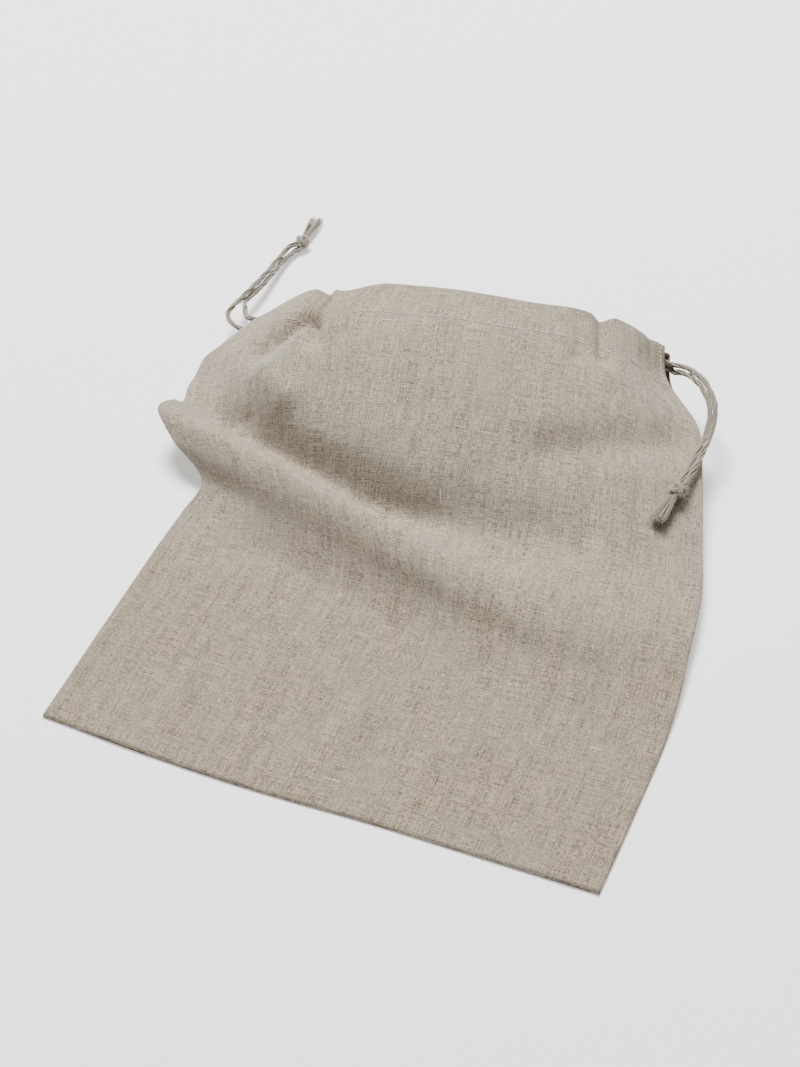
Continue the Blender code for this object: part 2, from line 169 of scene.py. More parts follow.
FINE_CREASES = (
    Crease("nip at the left", (0.220, 0.985), (0.232, 0.885), 0.0034, 0.0052),
    Crease("slanting nip at the left", (0.214, 0.930), (0.160, 0.880), 0.0045, 0.0034),
    Crease("low place on the roll", (0.400, 0.575), (0.495, 0.573), 0.0150, 0.0048),
    Crease("nip at the right", (0.786, 0.995), (0.782, 0.930), 0.0040, 0.0022),
    Crease("nip at the right end", (0.908, 0.955), (0.930, 0.905), 0.0040, 0.0016),
    Crease("line near the closed end", (0.560, 0.010), (0.690, 0.135), 0.0060, 0.0006),
)

RIPPLES = (
    Ripple(1.3, 0.9, 0.4, 0.00045),
    Ripple(-0.8, 2.3, 1.9, 0.00040),
    Ripple(2.7, 1.1, 3.1, 0.00030),
    Ripple(3.9, -2.6, 5.0, 0.00022),
    Ripple(-5.1, 3.7, 0.9, 0.00015),
    Ripple(6.3, 5.2, 2.2, 0.00012),
)


@dataclass(frozen=True)
class BagCut:
    """Sizes that the two panels share.

    The width and length are the finished cut; the channel sizes are from layer to layer.
    """

    width: float = 0.400
    length: float = 0.500
    cloth: float = 0.0009
    channel_depth_left: float = 0.041
    channel_depth_right: float = 0.035
    channel_open: float = 0.0070
    channel_flat: float = 0.0030
    channel_sewn: float = 0.0011
    channel_mouth: float = 0.08
    hem_end: float = 0.0440
    slit_from: float = 0.85
    slit_to: float = 0.95
    left_slit: tuple[float, float, float] = (0.001, 0.022, -0.012)
    right_slit: tuple[float, float, float] = (0.0035, 0.006, -0.0115)
    seam_apart: float = 0.00105
    dips_from: float = 0.80
    back_mouth: float = 0.486
    back_height: float = 0.00045
    back_drawn: float = 0.34
    back_lifted: float = 0.10
    settle: float = 0.00065
    settle_height: float = 0.004


def eased(t: np.ndarray | float) -> np.ndarray | float:
    """A smooth step from 0 to 1."""
    t = np.clip(t, 0.0, 1.0)
    return t * t * (3 - 2 * t)


def smooth_span(p: Sequence[np.ndarray], share: np.ndarray | float) -> np.ndarray:
    """Points on the smooth span between the middle two of four points.

    Args:
        p: Four arrays of points, whose last axis is x, y, z.
        share: How far along the span, from 0 to 1.

    Returns:
        The array of points at that share.
    """
    knots = [np.zeros(p[0].shape[:-1])]
    for a, b in zip(p, p[1:]):
        knots.append(knots[-1] + np.maximum(np.linalg.norm(b - a, axis=-1), 1e-6) ** 0.5)
    k = knots[1] + (knots[2] - knots[1]) * share

    def mixed(a: np.ndarray, b: np.ndarray, start: np.ndarray, end: np.ndarray) -> np.ndarray:
        """The point between a and b at the knot k."""
        return a + (b - a) * ((k - start) / (end - start))[..., None]

    a1 = mixed(p[0], p[1], knots[0], knots[1])
    a2 = mixed(p[1], p[2], knots[1], knots[2])
    a3 = mixed(p[2], p[3], knots[2], knots[3])
    b1 = mixed(a1, a2, knots[0], knots[2])
    b2 = mixed(a2, a3, knots[1], knots[3])
    return mixed(b1, b2, knots[1], knots[2])


def with_ends(points: np.ndarray) -> np.ndarray:
    """The points along the first axis, with one more in line at each end."""
    return np.concatenate([[2 * points[0] - points[1]], points, [2 * points[-1] - points[-2]]])


def smooth_curve(points: np.ndarray, steps: int) -> np.ndarray:
    """A smooth curve through points.

    Args:
        points: The points, along the first axis.
        steps: How many steps are made between each two.

    Returns:
        The curve's points, along the first axis.
    """
    ends = with_ends(np.asarray(points, float))
    curve = []
    for i in range(len(points) - 1):
        for step in range(steps):
            curve.append(smooth_span(ends[i:i + 4], step / steps))
    curve.append(np.asarray(points[-1], float))
    return np.array(curve)


def running_lengths(curve: np.ndarray) -> np.ndarray:
    """The length of a curve up to each of its points."""
    return np.concatenate([[0.0], np.cumsum(np.linalg.norm(np.diff(curve, axis=0), axis=1))])


def at_shares(curve: np.ndarray, shares: np.ndarray) -> np.ndarray:
    """Points on a curve at the given shares of its length."""
    lengths = running_lengths(curve)
    return np.stack([np.interp(shares * lengths[-1], lengths, curve[:, k]) for k in range(3)], axis=1)


def sheet_normals(grid: np.ndarray) -> np.ndarray:
    """Upward normals of a sheet given as a grid of columns and rows of points."""
    across = np.gradient(grid, axis=0)
    along = np.gradient(grid, axis=1)
    normals = np.cross(across, along)
    return normals / np.maximum(np.linalg.norm(normals, axis=-1, keepdims=True), TINY)


@dataclass
class BagShape:
    """How the cloth lies: the middle surfaces of both panels."""

    cut: BagCut = field(default_factory=BagCut)
    steps: int = 12

    def crease_depth(self, u: np.ndarray, v: np.ndarray, creases: Sequence[Crease]) -> np.ndarray:
        """How far the front panel is pressed in.

        Args:
            u: Shares of the width.
            v: Shares of the length, of the same shape.
            creases: The troughs and ridges that count.

        Returns:
            The depth at each place, in metres.
        """
        depth = np.zeros(u.shape)
        size = np.array([self.cut.width, self.cut.length])
        place = np.stack([u, v], axis=-1) * size
        for crease in creases:
            start = np.array(crease.start) * size
            run = np.array(crease.end) * size - start
            nearest = np.clip((place - start) @ run / (run @ run), 0, 1)
            away = np.linalg.norm(place - start - nearest[..., None] * run, axis=-1)
            depth += crease.depth * np.exp(-(away / crease.width) ** 2)
        return depth

    def drawn_shares(self, u: float, vs: np.ndarray) -> np.ndarray:
        """The shares of one column's length, drawn back towards the mouth's gathers."""
        cut = self.cut
        drawn = sum(dip.depth / cut.length * math.exp(-((u - dip.place) * cut.width / dip.width) ** 2)
                    for dip in DIPS)
        return vs - drawn * eased((vs - cut.dips_from) / (1 - cut.dips_from))

    def ripple_height(self, u: np.ndarray, v: np.ndarray) -> np.ndarray:
        """The height of the gentle waves at shares u of the width and v of the length."""
        height = np.zeros(u.shape)
        for ripple in RIPPLES:
            phase = 2 * math.pi * (ripple.across * u + ripple.along * v) + ripple.phase
            height += ripple.height * np.sin(phase)
        return height

    def front(self, us: np.ndarray, vs: np.ndarray, fine: bool = True) -> np.ndarray:
        """The middle of the front panel's cloth.

        Args:
            us: Shares of the width, one for each column.
            vs: Shares of the length, one for each row.
            fine: Whether the fine creases and ripples are laid over the folds.

        Returns:
            A grid of points in the frame of the bag's corner.
        """
        stations = with_ends(np.array([fold[1:] for fold in FOLDS]).transpose(1, 0, 2))
        last = len(stations) - 4
        columns = []
        for u in us:
            place = u * (last + 1)
            i = min(int(place), last)
            lines = smooth_span(stations[i:i + 4], place - i)
            columns.append(at_shares(smooth_curve(lines, self.steps), self.drawn_shares(u, vs)))
        grid = np.array(columns)
        u_grid, v_grid = np.meshgrid(us, vs, indexing="ij")
        depth = self.crease_depth(u_grid, v_grid, CREASES)
        if fine:
            depth += self.crease_depth(u_grid, v_grid, FINE_CREASES) - self.ripple_height(u_grid, v_grid)
        grid = grid - sheet_normals(grid) * depth[..., None]
        settled = self.cut.settle * (1 - eased((grid[..., 2] - LAID) / self.cut.settle_height))
        grid[..., 2] = np.maximum(grid[..., 2], LAID) - settled
        return grid

    def back(self, us: np.ndarray, vs: np.ndarray) -> np.ndarray:
        """The middle of the back panel's cloth, flat on the floor and lifted at the side seams.

        Args:
            us: Shares of the width, one for each column.
            vs: Shares of the length, one for each row.

        Returns:
            A grid of points in the frame of the bag's corner.
        """
        cut = self.cut
        edge_us = np.array([0.0, 0.012, 0.988, 1.0])
        edges = self.front(edge_us, vs, fine=False)
        normals = np.array([sheet_normals(edges[:2])[0], sheet_normals(edges[2:])[1]])
        slit = eased((vs - cut.slit_from) / (cut.slit_to - cut.slit_from))
        slits = np.array([cut.left_slit, cut.right_slit])[:, None] * slit[None, :, None]
        left, right = edges[[0, 3]] - normals * (cut.seam_apart * (1 - slit))[None, :, None] + slits
        floor_y = cut.back_mouth * vs
        closed_end = self.front(us, np.array([0.0, 0.01]), fine=False)[:, 0, 1]
        grid = np.zeros((len(us), len(vs), 3))
        u = us[:, None]
        grid[..., 0] = left[:, 0] + (right[:, 0] - left[:, 0]) * u
        grid[..., 1] = floor_y + closed_end[:, None] * (1 - vs) ** 4
        grid[..., 2] = cut.back_height
        for seam, inward in ((left, u), (right, 1 - u)):
            drawn = np.maximum(0, 1 - inward / cut.back_drawn) ** 2
            lifted = np.maximum(0, 1 - inward / cut.back_lifted) ** 2
            grid[..., 1] += (seam[:, 1] - floor_y) * drawn
            grid[..., 2] += (seam[:, 2] - cut.back_height) * lifted
        grid[..., 2] = np.maximum(grid[..., 2], cut.back_height)
        return grid

    def sheet(self, layer: Layer, us: np.ndarray, vs: np.ndarray) -> np.ndarray:
        """The middle surface of either panel at shares of its width and length."""
        return self.front(us, vs) if layer is Layer.FRONT else self.back(us, vs)

    def stitch_depth(self, u: np.ndarray) -> np.ndarray:
        """How far from the mouth's edge a channel is stitched, at shares of the width."""
        cut = self.cut
        return cut.channel_depth_left + (cut.channel_depth_right - cut.channel_depth_left) * eased(u)

    def channel_height(self, u: np.ndarray, depth: float) -> np.ndarray:
        """The gap between a channel's two layers, at shares of the width and a depth from the mouth."""
        cut = self.cut
        from_end = np.minimum(u, 1 - u)
        open_share = 1 - eased((from_end - cut.channel_mouth) / cut.channel_mouth)
        height = cut.channel_flat + (cut.channel_open - cut.channel_flat) * open_share
        sewn_depth = self.stitch_depth(u)
        sewn = eased((sewn_depth - depth) / (sewn_depth / 3))
        return cut.channel_sewn + (height - cut.channel_sewn) * sewn

    def channel_middle(self, layer: Layer, side: Side, depth: float) -> np.ndarray:
        """Points along the middle of a channel's end, from inside it to just outside.

        Args:
            layer: Which panel's channel.
            side: Which end of it.
            depth: How far from the mouth's edge.

        Returns:
            Four points in the frame of the bag's corner.
        """
        inside, beside, outside = 0.060, 0.004, 0.003
        us = np.array([inside, inside / 2, 0.0])
        if side is Side.RIGHT:
            us = 1 - us
        middle = 1 - depth / self.cut.length
        order = np.argsort(us)
        grid = self.sheet(layer, us[order], np.array([middle - beside, middle, middle + beside]))
        normals = sheet_normals(grid)
        points = (grid + normals * layer.value * self.cut.channel_open / 2)[np.argsort(order), 1]
        outward = points[-1] - points[-2]
        return np.vstack([points, points[-1] + outward / np.linalg.norm(outward) * outside])


def tube(points: np.ndarray, radii: np.ndarray, sides: int) -> tuple[np.ndarray, list]:
    """A closed round tube along points.

    Args:
        points: The tube's middle line.
        radii: Its radius at each point.
        sides: How many sides it has.

    Returns:
        The vertices, and the faces as tuples of indices.
    """
    tangents, firsts, seconds = carried_frame(points)
    angles = np.arange(sides) * 2 * math.pi / sides
    spokes = (firsts[:, None] * np.cos(angles)[None, :, None]
              + seconds[:, None] * np.sin(angles)[None, :, None])
    rings = points[:, None] + radii[:, None, None] * spokes
    vertices = np.concatenate([rings.reshape(-1, 3), points[:1] - tangents[:1] * radii[0] * CAP_RISE,
                               points[-1:] + tangents[-1:] * radii[-1] * CAP_RISE])
    faces = []
    last = len(points) - 1
    for i in range(last):
        for k in range(sides):
            a, b = i * sides + k, i * sides + (k + 1) % sides
            faces.append((a, b, b + sides, a + sides))
    start, end = len(vertices) - 2, len(vertices) - 1
    for k in range(sides):
        faces.append((start, (k + 1) % sides, k))
        faces.append((end, last * sides + k, last * sides + (k + 1) % sides))
    return vertices, faces


def carried_frame(line: np.ndarray) -> tuple[np.ndarray, np.ndarray, np.ndarray]:
    """Unit tangents along a line, and two directions square to each that turn as little as possible."""
    tangents = np.gradient(line, axis=0)
    tangents /= np.maximum(np.linalg.norm(tangents, axis=1, keepdims=True), TINY)
    first = np.cross(tangents[0], (0.0, 0.0, 1.0))
    if np.linalg.norm(first) < 1e-6:
        first = np.cross(tangents[0], (1.0, 0.0, 0.0))
    firsts = []
    for tangent in tangents:
        first = first - tangent * (first @ tangent)
        first = first / np.linalg.norm(first)
        firsts.append(first)
    firsts = np.array(firsts)
    return tangents, firsts, np.cross(tangents, firsts)


def round_about(firsts: np.ndarray, seconds: np.ndarray, angle: np.ndarray) -> np.ndarray:
    """Unit steps away from a line, at one angle for each of its points."""
    return firsts * np.cos(angle)[:, None] + seconds * np.sin(angle)[:, None]


class MeshKit:
    """Gathers tubes into one mesh, with a UV of metres along each and a number of its own across."""

    def __init__(self) -> None:
        """Start an empty kit."""
        self.vertices: list[np.ndarray] = []
        self.faces: list[tuple[int, ...]] = []
        self.uvs: list[np.ndarray] = []
        self.count = 0

    def add_tube(self, points: np.ndarray, radii: np.ndarray, sides: int, number: float) -> None:
        """Add one tube along points; the number tells it from the others in its finish."""
        vertices, faces = tube(points, radii, sides)
        along = running_lengths(points)
        around = np.arange(sides) / sides
        uv = np.stack([np.repeat(along, sides), np.tile(around, len(points))], axis=1)
        uv = np.concatenate([uv, [[0, 0.5], [along[-1], 0.5]]])
        uv[:, 1] += number
        self.vertices.append(vertices)
        self.faces += [tuple(self.count + k for k in face) for face in faces]
        self.uvs.append(uv)
        self.count += len(vertices)

    def build(self, name: str) -> bpy.types.Object:
        """Make the gathered tubes one smooth mesh object of this name."""
        vertices = np.concatenate(self.vertices)
        uvs = np.concatenate(self.uvs)
        return mesh_object(name, vertices, self.faces, uvs, YARN_UV)


def mesh_object(name: str, vertices: np.ndarray, faces: list, uvs: np.ndarray,
                uv_name: str) -> bpy.types.Object:
    """A smooth mesh object at the origin.

    Args:
        name: The piece's name.
        vertices: Its points, in the frame of the part.
        faces: Tuples of indices.
        uvs: A pair for each vertex.
        uv_name: The name of the UV map.

    Returns:
        The linked object.
    """
    mesh = bpy.data.meshes.new(name)
    mesh.from_pydata(vertices.tolist(), [], faces)
    layer = mesh.uv_layers.new(name=uv_name)
    corners = np.zeros(len(mesh.loops), dtype=np.int64)
    mesh.loops.foreach_get("vertex_index", corners)
    layer.data.foreach_set("uv", uvs[corners].astype(np.float32).ravel())
    mesh.shade_smooth()
    piece = bpy.data.objects.new(name, mesh)
    bpy.context.scene.collection.objects.link(piece)
    return piece


class Value:
    """A shader socket that takes part in Python sums, which become Math nodes."""

    def __init__(self, bench: "Bench", socket: bpy.types.NodeSocket) -> None:
        """Wrap one output socket."""
        self.bench = bench
        self.socket = socket

    def joined(self, operation: str, first: object, second: object) -> "Value":
        """The result of one Math node on two values or numbers."""
        node = self.bench.add("ShaderNodeMath", {"operation": operation}, {0: first, 1: second})
        return Value(self.bench, node.outputs[0])

    def __add__(self, other: object) -> "Value":
        """The sum."""
        return self.joined("ADD", self, other)

    def __radd__(self, other: object) -> "Value":
        """The sum, from the right."""
        return self.joined("ADD", other, self)

    def __sub__(self, other: object) -> "Value":
        """The difference."""
        return self.joined("SUBTRACT", self, other)

    def __rsub__(self, other: object) -> "Value":
        """The difference, from the right."""
        return self.joined("SUBTRACT", other, self)

    def __mul__(self, other: object) -> "Value":
        """The product."""
        return self.joined("MULTIPLY", self, other)

    def __rmul__(self, other: object) -> "Value":
        """The product, from the right."""
        return self.joined("MULTIPLY", other, self)


class Bench:
    """The node tree of one finish."""

    def __init__(self, name: str) -> None:
        """Start a material that has only its surface shader and output."""
        self.material = bpy.data.materials.new(name)
        self.material.use_nodes = True
        self.nodes = self.material.node_tree.nodes
        self.nodes.clear()
        self.shader = self.add("ShaderNodeBsdfPrincipled")
        self.add("ShaderNodeOutputMaterial", None, {"Surface": self.shader.outputs[0]})

    def add(self, kind: str, settings: dict | None = None, sockets: dict | None = None) -> bpy.types.Node:
        """Add one node.

        Args:
            kind: The node's type.
            settings: Properties, set before the sockets.
            sockets: Values or links, by the socket's name or number.

        Returns:
            The new node.
        """
        node = self.nodes.new(kind)
        for key, setting in (settings or {}).items():
            setattr(node, key, setting)
        for key, source in (sockets or {}).items():
            self.feed(node.inputs[key], source)
        return node

    def feed(self, socket: bpy.types.NodeSocket, source: object) -> None:
        """Link a socket to a value or another socket, or set it to a plain value."""
        if isinstance(source, Value):
            source = source.socket
        if isinstance(source, bpy.types.NodeSocket):
            self.material.node_tree.links.new(source, socket)
        else:
            socket.default_value = source

    def coordinates(self, uv_name: str) -> bpy.types.NodeSocket:
        """The piece's own UV map, in metres."""
        return self.add("ShaderNodeUVMap", {"uv_map": uv_name}).outputs["UV"]

    def scaled(self, vector: bpy.types.NodeSocket, size: tuple[float, float],
               shift: float) -> bpy.types.NodeSocket:
        """Coordinates in units of a grain's size, shifted to a place of its own."""
        node = self.add("ShaderNodeVectorMath", {"operation": "MULTIPLY_ADD"},
                        {0: vector, 1: (1 / size[0], 1 / size[1], 0.0), 2: (shift, shift * 1.7, 0.0)})
        return node.outputs[0]

    def grain(self, vector: bpy.types.NodeSocket, size: tuple[float, float], shift: float,
              detail: float = 1.0) -> Value:
        """Soft noise about 0, whose grains have the given size in metres."""
        node = self.add("ShaderNodeTexNoise", {"noise_dimensions": "2D"},
                        {"Vector": self.scaled(vector, size, shift), "Scale": 1.0, "Detail": detail,
                         "Roughness": 0.55})
        return Value(self, node.outputs["Fac"]) - 0.5

    def wave(self, vector: bpy.types.NodeSocket, pitch: float, axis: int) -> Value:
        """A sine of the given pitch along one axis."""
        parts = self.add("ShaderNodeSeparateXYZ", None, {0: vector})
        phase = Value(self, parts.outputs[axis]) * (2 * math.pi / pitch)
        return Value(self, self.add("ShaderNodeMath", {"operation": "SINE"}, {0: phase}).outputs[0])

    def step(self, value: Value, low: float, high: float) -> Value:
        """A smooth step from 0 at low to 1 at high."""
        node = self.add("ShaderNodeMapRange", {"interpolation_type": "SMOOTHSTEP"},
                        {"Value": value, "From Min": low, "From Max": high})
        return Value(self, node.outputs["Result"])

    def blend(self, share: Value, first: object, second: object) -> bpy.types.NodeSocket:
        """A colour between two others."""
        node = self.add("ShaderNodeMix", {"data_type": "RGBA", "clamp_factor": True},
                        {0: share, 6: first, 7: second})
        return node.outputs[2]

    def raise_by(self, height: Value, distance: float, strength: float) -> None:
        """Give the surface a fine relief."""
        bump = self.add("ShaderNodeBump", None,
                        {"Height": height, "Distance": distance, "Strength": strength})
        self.feed(self.shader.inputs["Normal"], bump.outputs[0])


@dataclass(frozen=True)
class LinenCloth:
    """Undyed plain-woven linen: uneven threads both ways, slubs and grey patches, and a warmer, darker tone
    in the flat and by the hem.

    Sizes are metres. A run is how long one tone lasts along a thread. The warmer, darker tone fades in
    between the given distances from the closed end.
    """

    name: str
    light: tuple[float, float, float, float] = (0.522, 0.434, 0.324, 1.0)
    dark: tuple[float, float, float, float] = (0.113, 0.096, 0.071, 1.0)
    pale: tuple[float, float, float, float] = (0.640, 0.550, 0.430, 1.0)
    grey: tuple[float, float, float, float] = (0.292, 0.272, 0.226, 1.0)
    warm: tuple[float, float, float, float] = (0.455, 0.364, 0.256, 1.0)
    warm_dark: tuple[float, float, float, float] = (0.088, 0.072, 0.048, 1.0)
    thread: float = 0.00048
    thread_run: float = 0.0200
    fleck: float = 0.0005
    fleck_run: float = 0.0034
    slub: float = 0.0012
    slub_run: float = 0.013
    slub_from: float = 0.27
    slub_to: float = 0.34
    slub_share: float = 0.55
    patch: tuple[float, float] = (0.040, 0.060)
    patch_share: float = 0.26
    band: tuple[float, float] = (0.006, 0.120)
    hem_share: float = 0.4
    flat_from: float = 0.300
    flat_to: float = 0.150
    hem_from: float = 0.420
    hem_to: float = 0.480
    pitch: float = 0.00060

    def material(self) -> bpy.types.Material:
        """Build the node tree."""
        bench = Bench(self.name)
        cloth = bench.coordinates(CLOTH_UV)
        lengthwise = bench.grain(cloth, (self.thread, self.thread_run), 3.0)
        crosswise = bench.grain(cloth, (self.thread_run, self.thread), 11.0)
        fleck = bench.grain(cloth, (self.fleck, self.fleck), 23.0)
        short = (bench.grain(cloth, (self.fleck, self.fleck_run), 61.0)
                 + bench.grain(cloth, (self.fleck_run, self.fleck), 67.0))
        patch = bench.grain(cloth, self.patch, 31.0, 2.0)
        band = bench.grain(cloth, self.band, 37.0)
        weave = bench.wave(cloth, self.pitch, 0) * bench.wave(cloth, self.pitch, 1)
        tone = (0.50 + lengthwise * 1.4 + crosswise * 1.4 + short * 1.5 + fleck * 1.5 + band * 0.4
                + weave * 0.10)
        along = Value(bench, bench.add("ShaderNodeSeparateXYZ", None, {0: cloth}).outputs[1])
        # The cloth is made warmer and darker in the flat half towards the closed end, and partly so again
        # by the hem.
        flat = (bench.step(along, self.flat_from, self.flat_to)
                + bench.step(along, self.hem_from, self.hem_to) * self.hem_share)
        colour = bench.blend(flat, bench.blend(tone, self.dark, self.light),
                             bench.blend(tone, self.warm_dark, self.warm))
        colour = bench.blend(bench.step(patch, -0.15, 0.25) * self.patch_share, colour, self.grey)
        slub, cross_slub = (bench.step(bench.grain(cloth, size, shift), self.slub_from, self.slub_to)
                            for size, shift in (((self.slub, self.slub_run), 47.0),
                                                ((self.slub_run, self.slub), 53.0)))
        colour = bench.blend(slub * self.slub_share + cross_slub * self.slub_share, colour, self.pale)
        bench.feed(bench.shader.inputs["Base Color"], colour)
        bench.feed(bench.shader.inputs["Roughness"], 0.90 + fleck * 0.15)
        bench.raise_by(weave * 0.35 + lengthwise + crosswise + fleck * 0.6 + slub * 0.8 + cross_slub * 0.8,
                       0.00035, 0.55)
        bench.shader.inputs["Sheen Weight"].default_value = 0.18
        bench.shader.inputs["Sheen Roughness"].default_value = 0.6
        bench.shader.inputs["Specular IOR Level"].default_value = 0.25
        return bench.material


@dataclass(frozen=True)
class LinenYarn:
    """Plied linen yarn or thread, a little uneven in tone from yarn to yarn and along each."""

    name: str
    light: tuple[float, float, float, float] = (0.450, 0.395, 0.315, 1.0)
    dark: tuple[float, float, float, float] = (0.180, 0.152, 0.115, 1.0)
    twist: float = 0.0016

    def material(self) -> bpy.types.Material:
        """Build the node tree."""
        bench = Bench(self.name)
        yarn = bench.coordinates(YARN_UV)
        along = bench.grain(yarn, (0.0030, 0.9), 5.0, 2.0)
        fibre = bench.grain(yarn, (self.twist, 0.16), 17.0, 2.0)
        colour = bench.blend(0.55 + along * 1.1 + fibre * 1.2, self.dark, self.light)
        bench.feed(bench.shader.inputs["Base Color"], colour)
        bench.feed(bench.shader.inputs["Roughness"], 0.85 + along * 0.2)
        bench.raise_by(fibre, 0.0003, 0.6)
        bench.shader.inputs["Sheen Weight"].default_value = 0.2
        bench.shader.inputs["Specular IOR Level"].default_value = 0.3
        return bench.material


@dataclass(frozen=True)
class PaleFloor:
    """The studio's plain matt floor."""

    name: str = "pale_floor"
    colour: tuple[float, float, float, float] = (0.90, 0.89, 0.89, 1.0)
    glow: float = 0.53

    def material(self) -> bpy.types.Material:
        """Build the node tree."""
        bench = Bench(self.name)
        bench.feed(bench.shader.inputs["Base Color"], self.colour)
        bench.feed(bench.shader.inputs["Roughness"], 0.9)
        bench.shader.inputs["Specular IOR Level"].default_value = 0.1
        bench.shader.inputs["Emission Color"].default_value = self.colour
        bench.shader.inputs["Emission Strength"].default_value = self.glow
        return bench.material


@dataclass
class Panel:
    """One sewn panel: a thin sheet on its folds, with the channel hem turned in at the mouth."""

    name: str
    node: str
    layer: Layer
    shape: BagShape
    finish: bpy.types.Material
    columns: int = 181
    flat_rows: int = 44
    folded_rows: int = 150
    turn_rows: int = 7
    hem_rows: int = 22
    edge_rows: int = 90
    flat_share: float = 0.30
    turn: float = 0.0020
    past_hem: float = 0.002
    back_weave_shift: float = 0.7

    def column_shares(self) -> np.ndarray:
        """Shares of the width, closer together towards the side seams."""
        even = np.linspace(0, 1, self.columns)
        return 0.75 * even + 0.25 * (0.5 - 0.5 * np.cos(math.pi * even))

    def grid(self) -> tuple[np.ndarray, np.ndarray]:
        """The sheet's points with its hem, and the UV of each point in metres."""
        cut = self.shape.cut
        us = self.column_shares()
        last = 1 - self.turn / cut.length
        outer_vs = np.concatenate([np.linspace(0, self.flat_share, self.flat_rows, endpoint=False),
                                   np.linspace(self.flat_share, last, self.folded_rows)])
        angles = np.linspace(0, math.pi, self.turn_rows + 2)[1:-1]
        hem = np.linspace(self.turn, cut.hem_end, self.hem_rows)
        depths = np.concatenate([self.turn * (1 - np.sin(angles)), hem])
        parts = np.concatenate([(1 - np.cos(angles)) / 2, np.ones(self.hem_rows)])
        edge_vs = 1 - np.linspace(cut.hem_end + self.past_hem, 0.0, self.edge_rows) / cut.length
        edge = self.shape.sheet(self.layer, us, edge_vs)
        normals = sheet_normals(edge)
        places = np.interp(1 - depths / cut.length, edge_vs, np.arange(len(edge_vs)))
        low = np.minimum(places.astype(int), len(edge_vs) - 2)
        share = (places - low)[None, :, None]
        inner = edge[:, low] * (1 - share) + edge[:, low + 1] * share
        up = normals[:, low] * (1 - share) + normals[:, low + 1] * share
        lift = np.stack([self.layer.value * part * self.shape.channel_height(us, depth)
                         for depth, part in zip(depths, parts)], axis=1)
        inner = inner + up * lift[..., None]
        outer = self.shape.sheet(self.layer, us, outer_vs)
        points = np.concatenate([outer, inner], axis=1)
        along = np.concatenate([outer_vs * cut.length, cut.length + depths])
        uv = np.stack(np.meshgrid(us * cut.width, along, indexing="ij"), axis=-1)
        return points, uv

    def build(self) -> bpy.types.Object:
        points, uv = self.grid()
        columns, rows = points.shape[:2]
        corner = (np.arange(columns - 1)[:, None] * rows + np.arange(rows - 1)[None]).ravel()
        faces = np.stack([corner, corner + rows, corner + rows + 1, corner + 1], axis=1).tolist()
        shift = 0.0 if self.layer is Layer.FRONT else self.back_weave_shift
        uvs = uv.reshape(-1, 2) + shift
        piece = mesh_object(self.name, points.reshape(-1, 3) + CORNER, faces, uvs, CLOTH_UV)
        wall = piece.modifiers.new("thickness", "SOLIDIFY")
        wall.thickness = self.shape.cut.cloth
        wall.offset = 0.0
        apply_modifier(piece, wall)
        piece.data.materials.append(self.finish)
        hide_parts(self.node)
        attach(piece, "root")
        return piece


def apply_modifier(piece: bpy.types.Object, modifier: bpy.types.Modifier) -> None:
    """Apply one modifier of a piece, with nothing else selected."""
    bpy.ops.object.select_all(action="DESELECT")
    piece.select_set(True)
    bpy.context.view_layer.objects.active = piece
    bpy.ops.object.modifier_apply(modifier=modifier.name)


def on_cloth(shape: BagShape, layer: Layer, places: np.ndarray, proud: float) -> np.ndarray:
    """Points this far outside the middle of a panel's cloth.

    Args:
        shape: The bag's shape.
        layer: The panel.
        places: Shares of the width and the length.
        proud: The distance from the middle of the cloth.

    Returns:
        One point for each place.
    """
    step = 0.003
    points = []
    for u, v in places:
        grid = shape.sheet(layer, np.array([u - step, u, u + step]), np.array([v - step, v, v + step]))
        points.append(grid[1, 1] - sheet_normals(grid)[1, 1] * layer.value * proud + CORNER)
    return np.array(points)


@dataclass
class ChannelStitches:
    """The row of small stitches that closes a panel's channel, and the short rows at its hemmed ends."""

    name: str
    layer: Layer
    shape: BagShape
    finish: bpy.types.Material
    pitch: float = 0.0031
    length: float = 0.0022
    radius: float = 0.00038
    proud: float = 0.00074
    end_hem: float = 0.0060
    row_stretch: float = 1.08
    seam_share: float = 0.008
    thin_end: float = 0.45
    pulled_in: float = 0.0002

    def rows(self) -> list[np.ndarray]:
        """Places of the stitches' middles, as shares of the width and the length, one row after another."""
        cut = self.shape.cut
        across = np.arange(self.seam_share, 1 - self.seam_share, self.pitch / cut.width * self.row_stretch)
        row = np.stack([across, 1 - self.shape.stitch_depth(across) / cut.length], axis=1)
        rows = [row]
        for u in (self.end_hem / cut.width, 1 - self.end_hem / cut.width):
            down = np.arange(0.0030, self.shape.stitch_depth(np.array([u]))[0] - 0.002, self.pitch)
            rows.append(np.stack([np.full(len(down), u), 1 - down / cut.length], axis=1))
        return rows

    def build(self) -> bpy.types.Object:
        """Build all stitches as one piece."""
        kit = MeshKit()
        draw = random.Random(7 if self.layer is Layer.FRONT else 8)
        for row in self.rows():
            points = on_cloth(self.shape, self.layer, row, self.proud)
            for i in range(len(points) - 1):
                run = points[i + 1] - points[i]
                size = np.linalg.norm(run)
                if size < 1e-4:
                    continue
                half = run / size * self.length / 2
                middle = (points[i] + points[i + 1]) / 2 + half * draw.uniform(-0.15, 0.15)
                line = np.array([middle - half, middle - half * 0.45, middle + half * 0.45, middle + half])
                line[[0, -1], 2] -= self.pulled_in
                radii = np.array([self.thin_end, 1.0, 1.0, self.thin_end]) * self.radius
                kit.add_tube(line, radii, 5, float(draw.randint(0, 99)))
        piece = kit.build(self.name)
        piece.data.materials.append(self.finish)
        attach(piece, "root")
        return piece


class Slub(NamedTuple):
    """A thick place in one thread of the front panel, between two places in shares of width and length."""

    start: tuple[float, float]
    end: tuple[float, float]
    radius: float


